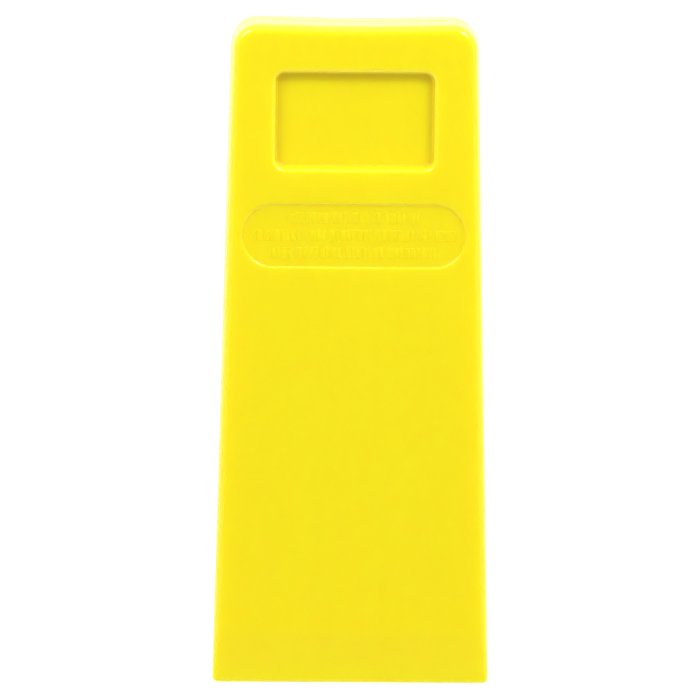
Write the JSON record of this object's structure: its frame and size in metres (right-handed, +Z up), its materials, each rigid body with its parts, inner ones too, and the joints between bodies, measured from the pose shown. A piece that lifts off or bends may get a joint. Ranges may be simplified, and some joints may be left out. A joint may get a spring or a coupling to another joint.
{
  "type": "felling wedge",
  "caption": "Flat plastic splitting and felling wedge with a struck end, a thin bevelled tip and shallow recesses in its upper face.",
  "frame": {"origin": "middle of the wedge's footprint, on the surface that its back face rests on", "axes": "+X across the width, +Y from the thin tip towards the struck end, +Z up out of the back face"},
  "size_m": [0.0578, 0.14, 0.025],
  "materials": {
    "wedge_plastic": "bright lemon yellow moulded plastic, soft gloss, slightly translucent at thin edges"
  },
  "bodies": {
    "root": {"wedge_body": "wedge_plastic"}
  },
  "joints": []
}
